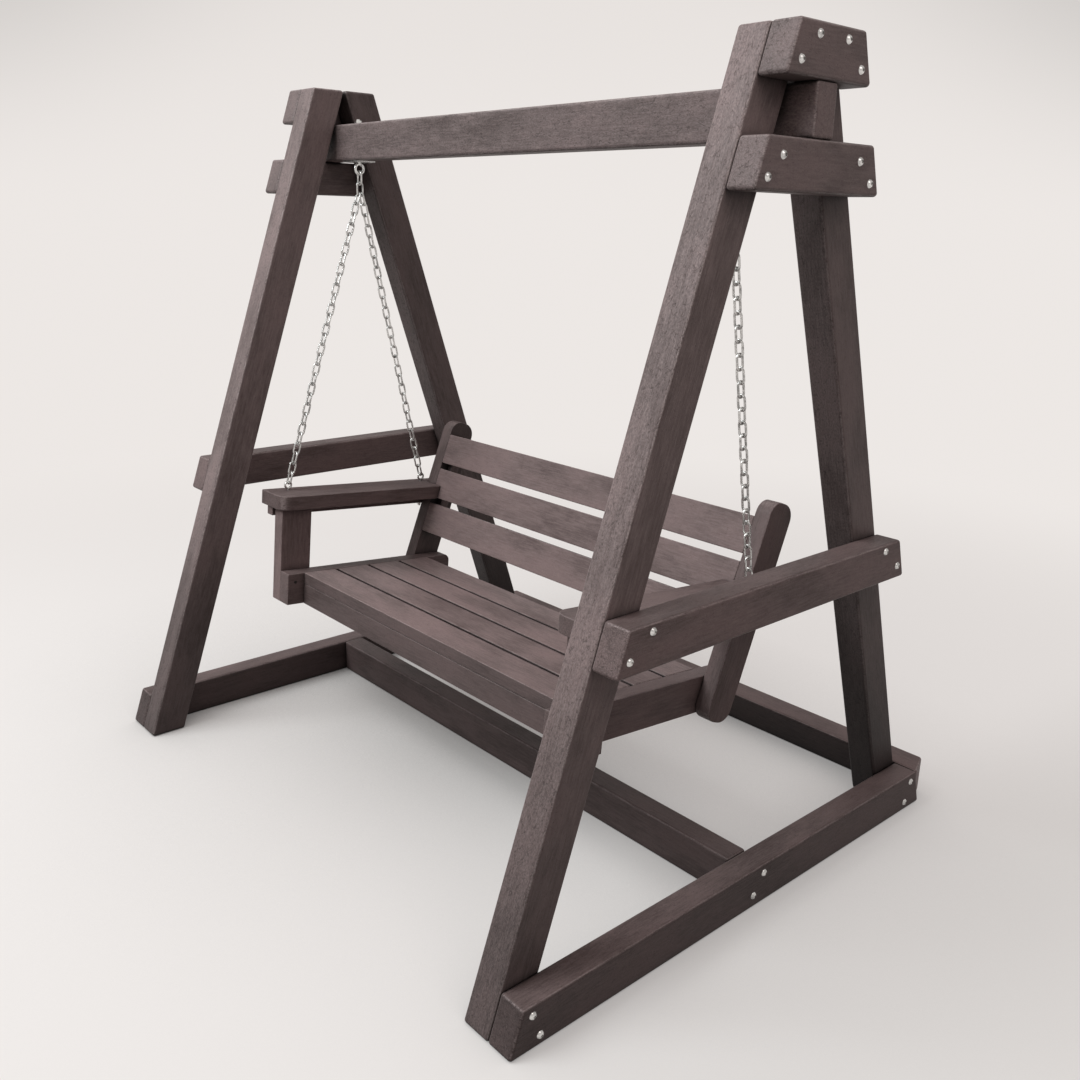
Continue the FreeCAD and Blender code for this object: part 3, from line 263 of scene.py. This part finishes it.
def add_node(tree, kind, inputs=(), **settings):
    """Add a node with its settings and inputs."""
    node = tree.nodes.new(kind)
    for key, value in settings.items():
        setattr(node, key, value)
    fill_inputs(tree, node, inputs)
    return node


def combine(tree, operation, *values):
    """A sum, difference or other combination of numbers."""
    return add_node(tree, "ShaderNodeMath", enumerate(values), operation=operation).outputs[0]


def product(tree, first, *others):
    """The product of some numbers."""
    for value in others:
        first = combine(tree, "MULTIPLY", first, value)
    return first


def add_shares(tree, total, layers, shares):
    """A number, and some layers' shares on top of it."""
    for name, share in shares.items():
        total = combine(tree, "MULTIPLY_ADD", layers[name], share, total)
    return total


def combine_vectors(tree, operation, *values):
    """A vector made from others."""
    return add_node(tree, "ShaderNodeVectorMath", enumerate(values), operation=operation).outputs[0]


def measure_vectors(tree, operation, *values):
    """A number made from vectors."""
    node = add_node(tree, "ShaderNodeVectorMath", enumerate(values), operation=operation)
    return node.outputs["Value"]


def split_vector(tree, vector):
    """The three parts of a vector."""
    return add_node(tree, "ShaderNodeSeparateXYZ", {0: vector}).outputs


def spread(tree, value, low, high):
    """A number from 0 at low to 1 at high, with soft ends."""
    inputs = {"Value": value, "From Min": low, "From Max": high}
    return add_node(tree, "ShaderNodeMapRange", inputs, interpolation_type="SMOOTHSTEP").outputs[0]


def blend_numbers(tree, share, first, second):
    """Two numbers mixed by a share."""
    return add_node(tree, "ShaderNodeMix", {"Factor": share, 2: first, 3: second}).outputs[0]


def blend_colours(tree, share, first, second):
    """Two colours mixed by a share."""
    inputs = {"Factor": share, 6: first, 7: second}
    return add_node(tree, "ShaderNodeMix", inputs, data_type="RGBA").outputs[2]


def blend_shaders(tree, share, first, second):
    """Two shaders mixed by a share."""
    return add_node(tree, "ShaderNodeMixShader", {0: share, 1: first, 2: second}).outputs[0]


def open_share(tree, reach, samples):
    """How open a surface is within a reach: 1 in the open, less in a corner."""
    return add_node(tree, "ShaderNodeAmbientOcclusion", {"Distance": reach}, samples=samples).outputs["AO"]


def along_board(tree, spot, stretch):
    """The board's own coordinates, drawn out along its length."""
    return combine_vectors(tree, "MULTIPLY", spot, (stretch, 1, 1))


def cloud(tree, spot, layer):
    """Noise of one layer."""
    inputs = {
        "Vector": along_board(tree, spot, layer["stretch"]),
        "Scale": layer["scale"],
        "Detail": layer["detail"],
        "Roughness": layer["roughness"],
    }
    return add_node(tree, "ShaderNodeTexNoise", inputs).outputs["Fac"]


def cells(tree, spot, scale):
    """Small cells: how far a point is from the middle of its cell, and a number of each cell's own."""
    inputs = {"Vector": spot, "Scale": scale}
    node = add_node(tree, "ShaderNodeTexVoronoi", inputs, feature="F1")
    number = add_node(tree, "ShaderNodeSeparateColor", {"Color": node.outputs["Color"]}).outputs[0]
    return node.outputs["Distance"], number


def new_material(name):
    """An empty node material, its tree and its shader."""
    material = bpy.data.materials.new(name)
    material.use_nodes = True
    tree = material.node_tree
    return material, tree, tree.nodes["Principled BSDF"]


# Plastic lumber

def marks_layer(tree, spot):
    """Short curved grain marks, in patches: broken contours of a cloud."""
    away = combine(tree, "SUBTRACT", cloud(tree, spot, MARKS), MARK_MIDDLE)
    line = spread(tree, combine(tree, "ABSOLUTE", away), MARK_WIDTH, 0)
    pieces = spread(tree, cloud(tree, spot, MARK_PIECES), *MARK_PIECE_SPAN)
    patches = spread(tree, cloud(tree, spot, MARK_PATCHES), *MARK_PATCH_SPAN)
    return product(tree, line, pieces, patches)


def pits_layer(tree, spot):
    """Small pits in the surface, in a few of its cells."""
    distance, number = cells(tree, along_board(tree, spot, PIT_STRETCH), PIT_SCALE)
    dot = spread(tree, distance, PIT_WIDTH, 0)
    return product(tree, dot, spread(tree, number, *PIT_CHOICE_SPAN))


def saw_layer(tree, spot, ends):
    """Arcs of the saw on the cut ends."""
    moved = combine_vectors(tree, "SUBTRACT", spot, SAW_CENTRE)
    inputs = {
        "Vector": along_board(tree, moved, 0),
        "Scale": SAW_SCALE,
        "Distortion": SAW_WOBBLE,
        "Detail": SAW_DETAIL,
    }
    arcs = add_node(tree, "ShaderNodeTexWave", inputs, wave_type="RINGS", rings_direction="SPHERICAL")
    return product(tree, arcs.outputs["Fac"], ends)


def lumber_layers(tree, given):
    """What the lumber shows, layer by layer, as numbers."""
    spot = given["Spot"]
    sides = combine_vectors(tree, "ABSOLUTE", given["Facing"])
    along, across, up = split_vector(tree, sides)
    flattest = combine(tree, "MAXIMUM", combine(tree, "MAXIMUM", along, across), up)
    marked = measure_vectors(tree, "DOT_PRODUCT", sides, given["Marks"])
    streaks = cloud(tree, spot, STREAKS)
    speckle = cloud(tree, spot, SPECKLE)
    worn_and_highlit = spread(tree, combine(tree, "ADD", streaks, speckle), *WEAR_AND_HIGHLIGHT_SPAN)
    pebble = spread(tree, cloud(tree, spot, PEBBLE), *PEBBLE_SPAN)
    marks = product(tree, marks_layer(tree, spot), marked)
    pits = pits_layer(tree, spot)
    deepest = combine(tree, "MAXIMUM", product(tree, marks, MARK_SHARE), product(tree, pits, PIT_SHARE))
    return {
        "second": spread(tree, across, *SECOND_FACE_SPAN),
        "marked": marked,
        "mottle": cloud(tree, spot, MOTTLE),
        "streaks": streaks,
        "speckle": speckle,
        "fleck": spread(tree, speckle, *FLECK_SPAN),
        # Lighter edges: partly wear, partly a painted highlight
        "wear_and_highlight": product(tree, spread(tree, flattest, *EDGE_SPAN), worn_and_highlit),
        "pebble": pebble,
        "grain": product(tree, pebble, marked),
        "marks": marks,
        "pits": pits,
        "hollow": deepest,
        "saw": saw_layer(tree, spot, spread(tree, along, *END_SPAN)),
    }


def lumber_colour(tree, layers):
    """The colour of the plastic: mottled, with red patches, flecks, edges lightened partly by wear and
    partly as a painted highlight, and dark hollows.
    """
    streaks = product(tree, layers["streaks"], STREAK_SHARE)
    shade = combine(tree, "ADD", streaks, product(tree, layers["mottle"], MOTTLE_SHARE))
    colour = blend_colours(tree, spread(tree, shade, *SHADE_SPAN), LUMBER_DARK, LUMBER_LIGHT)
    red = spread(tree, layers["mottle"], *RED_SPAN)
    over = (
        (product(tree, red, RED_SHARE), LUMBER_RED),
        (product(tree, layers["fleck"], FLECK_SHARE), LUMBER_LIGHT),
        (product(tree, layers["wear_and_highlight"], WEAR_AND_HIGHLIGHT_SHARE), LUMBER_WORN_AND_HIGHLIT),
        (layers["hollow"], LUMBER_DEEP),
    )
    for share, other in over:
        colour = blend_colours(tree, share, colour, other)
    return colour


def lumber_tone_and_painted_light(tree, given, layers):
    """How light the plastic is: by its board's tone and painted light, the painted light and shade on its
    second faces, the painted shade at its foot and in crevices, and in its pebbles.
    """
    # Painted shade darker towards the floor, and painted light and shade on the second faces
    raised = spread(tree, given["Height above floor"], 0, FOOT_PAINTED_SHADE_HEIGHT)
    foot_painted_shade = blend_numbers(tree, raised, given["Foot painted shade"], 1)
    second_face_painted_light = blend_numbers(tree, layers["second"], 1, given["Second faces painted light"])
    pebbled = blend_numbers(tree, layers["pebble"], PEBBLE_DARK_SHARE, PEBBLE_LIGHT_SHARE)
    grain = blend_numbers(tree, layers["marked"], 1, pebbled)
    # Painted shade in crevices and between boards, by how open the surface is
    opened = spread(tree, open_share(tree, CREVICE_SHADE_REACH, CREVICE_SHADE_SAMPLES), *CREVICE_SHADE_SPAN)
    painted_crevice_shade = blend_numbers(tree, opened, CREVICE_SHADE_SHARE, 1)
    return product(tree, given["Tone and painted light"], foot_painted_shade, second_face_painted_light, grain, painted_crevice_shade)


def lumber_group():
    """The surface of the lumber, from the board's own coordinates and normal."""
    tree = bpy.data.node_groups.new("lumber", "ShaderNodeTree")
    for way, sockets in (("INPUT", LUMBER_INPUTS), ("OUTPUT", LUMBER_OUTPUTS)):
        for name, kind in sockets.items():
            tree.interface.new_socket(name, in_out=way, socket_type=kind)
    given = tree.nodes.new("NodeGroupInput").outputs
    layers = lumber_layers(tree, given)
    tinted = combine_vectors(tree, "MULTIPLY", lumber_colour(tree, layers), given["Tint"])
    toned = {0: tinted, "Scale": lumber_tone_and_painted_light(tree, given, layers)}
    results = {
        "Colour": add_node(tree, "ShaderNodeVectorMath", toned, operation="SCALE").outputs[0],
        "Roughness": add_shares(tree, LUMBER_ROUGHNESS, layers, ROUGHNESS_SHARES),
        "Height": add_shares(tree, 0, layers, HEIGHT_SHARES),
    }
    add_node(tree, "NodeGroupOutput", results)
    return tree


def board_turn(axis, tip):
    """The turn from the part's frame to a board's own, its first axis along the board."""
    tipped = Matrix.Rotation(math.radians(tip), 3, "X")
    rows = [tipped @ Vector(UNITS[letter]) for letter in AXIS_ORDER[axis]]
    return Matrix(rows).to_euler("XYZ")


def lumber_material(name, start, group, number):
    """The lumber's surface, laid along one board."""
    material, tree, shader = new_material(f"lumber_{name}")
    # Tone, second faces and foot carry painted light and shade as well as the board's own tone
    tone_and_painted_light, second, foot_painted_shade, marks = BOARD_SHARES[start]
    turn = board_turn(*BOARD_WAYS[start])
    given = add_node(tree, "ShaderNodeTexCoord").outputs
    place = {"Vector": given["Object"], "Rotation": turn, "Location": number * TEXTURE_STEP}
    facing = {"Vector": given["Normal"], "Rotation": turn}
    inputs = {
        "Spot": add_node(tree, "ShaderNodeMapping", place).outputs[0],
        "Facing": add_node(tree, "ShaderNodeMapping", facing, vector_type="VECTOR").outputs[0],
        "Height above floor": split_vector(tree, given["Object"])["Z"],
        "Tint": WARM_TINT if name.startswith(WARM_BOARDS) else PLAIN_TINT,
        "Tone and painted light": tone_and_painted_light,
        "Second faces painted light": second,
        "Foot painted shade": foot_painted_shade,
        "Marks": marks,
    }
    surface = add_node(tree, "ShaderNodeGroup", inputs, node_tree=group).outputs
    relief = {"Strength": BUMP_STRENGTH, "Distance": BUMP_DEPTH, "Height": surface["Height"]}
    finish = {
        "Base Color": surface["Colour"],
        "Roughness": surface["Roughness"],
        "Specular IOR Level": LUMBER_GLOSS,
        "Normal": add_node(tree, "ShaderNodeBump", relief).outputs[0],
    }
    fill_inputs(tree, shader, finish)
    return material


# Steel

def socket_floor(tree):
    """1 on the floor of a bolt head's socket, which faces straight along X or Y."""
    facing = add_node(tree, "ShaderNodeTexCoord").outputs["Normal"]
    across, along, _ = split_vector(tree, combine_vectors(tree, "ABSOLUTE", facing))
    return spread(tree, combine(tree, "MAXIMUM", across, along), *SOCKET_FACING_SPAN)


def steel_material(name):
    """Zinc-coated steel, with its spangle, tarnish and fine grain, and painted shade in the bolt heads'
    sockets.
    """
    material, tree, shader = new_material(name)
    dull, bright, smooth, rough, depth = STEELS[name]
    spot = add_node(tree, "ShaderNodeTexCoord").outputs["Object"]
    _, spangle = cells(tree, spot, SPANGLE_SCALE)
    clean = spread(tree, cloud(tree, spot, TARNISH), *TARNISH_SPAN)
    shine = combine(tree, "MULTIPLY_ADD", spangle, SPANGLE_COLOUR_SHARE, clean)
    level = spread(tree, shine, *STEEL_SPAN)
    colour = blend_colours(tree, level, dull, bright)
    # Painted shade on the floor of the bolt heads' sockets
    if name == "bolt_steel":
        colour = blend_colours(tree, socket_floor(tree), colour, SOCKET_PAINTED_SHADE)
    grain = cloud(tree, spot, STEEL_GRAIN)
    height = combine(tree, "MULTIPLY_ADD", spangle, SPANGLE_HEIGHT_SHARE, grain)
    polish = {"Value": level, "To Min": rough, "To Max": smooth}
    finish = {
        "Base Color": colour,
        "Roughness": add_node(tree, "ShaderNodeMapRange", polish).outputs[0],
        "Metallic": 1,
        "Normal": add_node(tree, "ShaderNodeBump", {"Distance": depth, "Height": height}).outputs[0],
    }
    fill_inputs(tree, shader, finish)
    return material


# Dressing the nodes

def dress(name, material):
    """Give a node its material."""
    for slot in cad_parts[name].material_slots:
        slot.material = material


def board_names(start):
    """The boards whose names start so, without their fasteners."""
    names = [name for name in sorted(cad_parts) if name.startswith(start)]
    return [name for name in names if not name.endswith(FASTENER_ENDINGS)]


def dress_boards():
    """Give each board the lumber's surface, laid along it and from a place of its own in the noise."""
    group = lumber_group()
    boards = [(name, start) for start in BOARD_WAYS for name in board_names(start)]
    for number, (name, start) in enumerate(boards, start=1):
        dress(name, lumber_material(name, start, group, number))


def dress_steel():
    """Give bolts, nuts, chains and screws their steel."""
    for finish, names in STEEL_NODES.items():
        material = steel_material(finish)
        for name in names:
            dress(name, material)


# Stage

def seen_directly(tree):
    """1 for camera rays and for reflections in gloss, 0 for light that falls on the bench."""
    path = add_node(tree, "ShaderNodeLightPath").outputs
    seen = combine(tree, "MAXIMUM", path["Is Camera Ray"], path["Is Glossy Ray"])
    return combine(tree, "MAXIMUM", seen, path["Is Transmission Ray"])


def backdrop_colour(tree, way):
    """The backdrop's colour in a direction."""
    unit = combine_vectors(tree, "NORMALIZE", way)
    near = spread(tree, measure_vectors(tree, "DOT_PRODUCT", unit, BACKDROP_AXIS), *BACKDROP_SPAN)
    high = blend_colours(tree, near, BACKDROP_DIM, BACKDROP_PALE)
    rise = spread(tree, split_vector(tree, unit)["Z"], 0, BACKDROP_RISE)
    return blend_colours(tree, rise, BACKDROP_HORIZON, high)


def floor_glow_with_painted_shadow(tree, place, far):
    """The floor's glow: pale, with painted shadow under the bench and on its right, and the backdrop's far
    off.
    """
    rightward = split_vector(tree, place)["X"]
    # Painted shadow: the glow is dimmer on the floor's right, and darker under the bench by how open the
    # floor is
    dimmed = spread(tree, rightward, *FLOOR_DIM_SPAN)
    lit = blend_colours(tree, dimmed, FLOOR_GLOW_COLOUR, FLOOR_GLOW_DIM)
    softened = spread(tree, rightward, *FLOOR_SHADE_SPAN)
    dark = blend_colours(tree, softened, FLOOR_SHADE_COLOUR, FLOOR_SHADE_PALE)
    near = blend_colours(tree, open_share(tree, FLOOR_SHADE_REACH, FLOOR_SHADE_SAMPLES), dark, lit)
    return blend_colours(tree, far, near, BACKDROP_HORIZON)


def floor_material():
    """A pale surface that keeps the shadow, with more painted shadow in its glow, and fades into the
    backdrop far off.
    """
    material, tree, _ = new_material("floor")
    tree.nodes.clear()
    place = add_node(tree, "ShaderNodeNewGeometry").outputs["Position"]
    far = spread(tree, measure_vectors(tree, "LENGTH", place), *FLOOR_FADE_SPAN)
    glow_share = combine(tree, "MULTIPLY_ADD", far, 1 - FLOOR_GLOW_SHARE, FLOOR_GLOW_SHARE)
    shaded = add_node(tree, "ShaderNodeBsdfDiffuse", {"Color": FLOOR_COLOUR}).outputs[0]
    glow = add_node(tree, "ShaderNodeEmission", {"Color": floor_glow_with_painted_shadow(tree, place, far)}).outputs[0]
    shown = blend_shaders(tree, glow_share, shaded, glow)
    bounce = add_node(tree, "ShaderNodeBsdfDiffuse", {"Color": FLOOR_BOUNCE_COLOUR}).outputs[0]
    both = blend_shaders(tree, seen_directly(tree), bounce, shown)
    add_node(tree, "ShaderNodeOutputMaterial", {"Surface": both})
    return material


def add_floor():
    """A wide round floor, just under the bench."""
    mesh = bpy.data.meshes.new("floor")
    form = bmesh.new()
    bmesh.ops.create_circle(form, cap_ends=True, segments=FLOOR_SIDES, radius=FLOOR_RADIUS)
    form.to_mesh(mesh)
    form.free()
    mesh.materials.append(floor_material())
    floor = bpy.data.objects.new("floor", mesh)
    floor.location.z = -FLOOR_DROP
    bpy.context.scene.collection.objects.link(floor)


def add_world():
    """A soft even sky that lights the bench, behind a pale backdrop."""
    world = bpy.data.worlds.new("studio")
    world.use_nodes = True
    tree = world.node_tree
    tree.nodes.clear()
    sky = {"Color": SKY_COLOUR, "Strength": SKY_STRENGTH}
    light = add_node(tree, "ShaderNodeBackground", sky).outputs[0]
    way = add_node(tree, "ShaderNodeTexCoord").outputs["Generated"]
    shown = add_node(tree, "ShaderNodeBackground", {"Color": backdrop_colour(tree, way)}).outputs[0]
    both = blend_shaders(tree, seen_directly(tree), light, shown)
    add_node(tree, "ShaderNodeOutputWorld", {"Surface": both})
    bpy.context.scene.world = world


def add_lamps():
    """A large soft lamp above the bench's front left, and a weak one on its right."""
    for name, (spot, aim, wide, watts, colour) in LAMPS.items():
        lamp = bpy.data.lights.new(name, "AREA")
        lamp.shape = "DISK"
        lamp.size = wide
        lamp.energy = watts
        lamp.color = colour
        holder = bpy.data.objects.new(name, lamp)
        holder.location = spot
        holder.rotation_euler = (aim - spot).to_track_quat("-Z", "Y").to_euler()
        holder.visible_camera = False
        bpy.context.scene.collection.objects.link(holder)


def add_camera():
    """The camera at the photograph's place and angle."""
    yaw, pitch, roll = (math.radians(angle) for angle in (CAMERA_YAW, CAMERA_PITCH, CAMERA_ROLL))
    level = math.cos(pitch)
    ahead = Vector((-math.sin(yaw) * level, math.cos(yaw) * level, math.sin(pitch)))
    right = Vector((math.cos(yaw), math.sin(yaw), 0))
    up = right.cross(ahead)
    rolled_right = math.cos(roll) * right + math.sin(roll) * up
    rolled_up = math.cos(roll) * up - math.sin(roll) * right
    turn = Matrix((rolled_right, rolled_up, -ahead)).transposed()
    lens = bpy.data.cameras.new("camera")
    lens.sensor_width = SENSOR_MM
    lens.lens = FOCAL_PIXELS * SENSOR_MM / IMAGE_SIDE
    lens.clip_end = CLIP_FAR
    camera = bpy.data.objects.new("camera", lens)
    camera.matrix_world = Matrix.Translation(CAMERA_SPOT) @ turn.to_4x4()
    bpy.context.scene.collection.objects.link(camera)
    bpy.context.scene.camera = camera


bpy.context.scene.view_settings.view_transform = "Standard"
add_camera()
add_world()
add_lamps()
add_floor()
dress_boards()
dress_steel()
